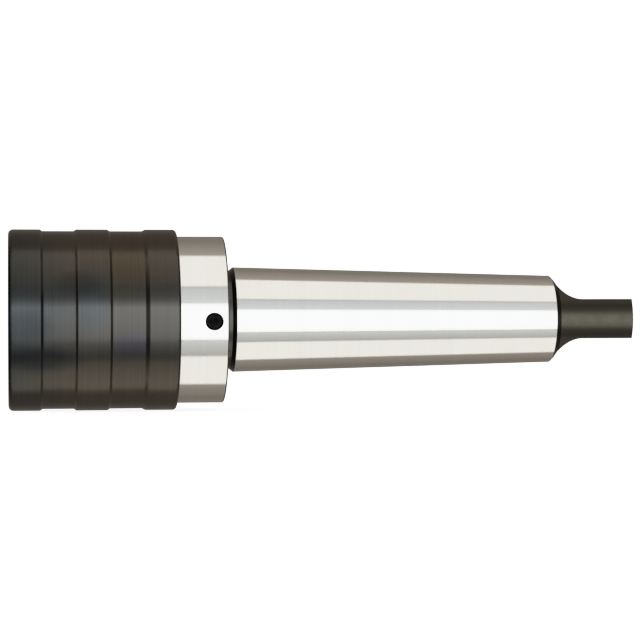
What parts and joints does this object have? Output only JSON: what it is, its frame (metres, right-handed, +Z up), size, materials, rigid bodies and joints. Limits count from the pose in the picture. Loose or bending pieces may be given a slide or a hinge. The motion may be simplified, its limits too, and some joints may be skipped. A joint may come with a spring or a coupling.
{
  "type": "quick change tapping chuck",
  "caption": "Quick change tapping chuck: taper shank with tang, ground housing ring, sprung floating sleeve and a ball lock worked by a black sliding collar.",
  "frame": {"origin": "on the turning axis at the gauge plane of the Morse taper shank", "axes": "+X along the turning axis from the nose to the tang, +Z up, -Y towards the lock screw"},
  "size_m": [0.1877, 0.054, 0.054],
  "materials": {
    "ground_shank": "ground taper, black oxide neck and tang",
    "ground_ring": "cylindrically ground",
    "black_oxide": "black oxide steel, satin",
    "black_fastener": "black oxide steel",
    "hardened_sleeve": "hardened and ground",
    "turned_steel": "turned",
    "ring_steel": "phosphated spring steel",
    "spring_steel": "oiled spring wire",
    "bearing_steel": "polished ball"
  },
  "bodies": {
    "shank": {"taper_shank": "ground_shank", "housing": "ground_ring", "lock_screw": "black_fastener", "guide_bush": "turned_steel", "stop_sleeve": "turned_steel", "tension_spring": "spring_steel", "compression_spring": "spring_steel"},
    "float": {"float_sleeve": "hardened_sleeve", "draw_rod": "turned_steel", "tie_screw": "black_fastener", "spring_plate": "turned_steel", "lock_nut": "turned_steel", "collar_retaining_ring": "ring_steel", "collar_spring": "spring_steel", "drive_ball_1": "bearing_steel", "drive_ball_2": "bearing_steel", "drive_ball_3": "bearing_steel", "drive_ball_4": "bearing_steel"},
    "collar": {"quick_change_collar": "black_oxide"},
    "locking_ball_1": {"locking_ball_1": "bearing_steel"},
    "locking_ball_2": {"locking_ball_2": "bearing_steel"},
    "locking_ball_3": {"locking_ball_3": "bearing_steel"}
  },
  "joints": [
    {"name": "float_slide", "type": "slide", "parent": "shank", "child": "float", "axis": [1, 0, 0], "range_m": [-0.008, 0.008], "stiffness_N_per_m": 13500, "deforming": ["tension_spring", "compression_spring"]},
    {"name": "collar_slide", "type": "slide", "parent": "float", "child": "collar", "axis": [1, 0, 0], "range_m": [0, 0.005], "stiffness_N_per_m": 2000, "springref_m": -0.008, "deforming": ["collar_spring"]},
    {"name": "locking_ball_1_slide", "type": "slide", "parent": "float", "child": "locking_ball_1", "axis": [0, 0, 1], "range_m": [0, 0.0013]},
    {"name": "locking_ball_2_slide", "type": "slide", "parent": "float", "child": "locking_ball_2", "axis": [0, -0.866, -0.5], "range_m": [0, 0.0013]},
    {"name": "locking_ball_3_slide", "type": "slide", "parent": "float", "child": "locking_ball_3", "axis": [0, 0.866, -0.5], "range_m": [0, 0.0013]}
  ],
  "couplings": [
    {"joint": "locking_ball_1_slide", "follows": "collar_slide", "ratio": 0.26},
    {"joint": "locking_ball_2_slide", "follows": "collar_slide", "ratio": 0.26},
    {"joint": "locking_ball_3_slide", "follows": "collar_slide", "ratio": 0.26}
  ]
}
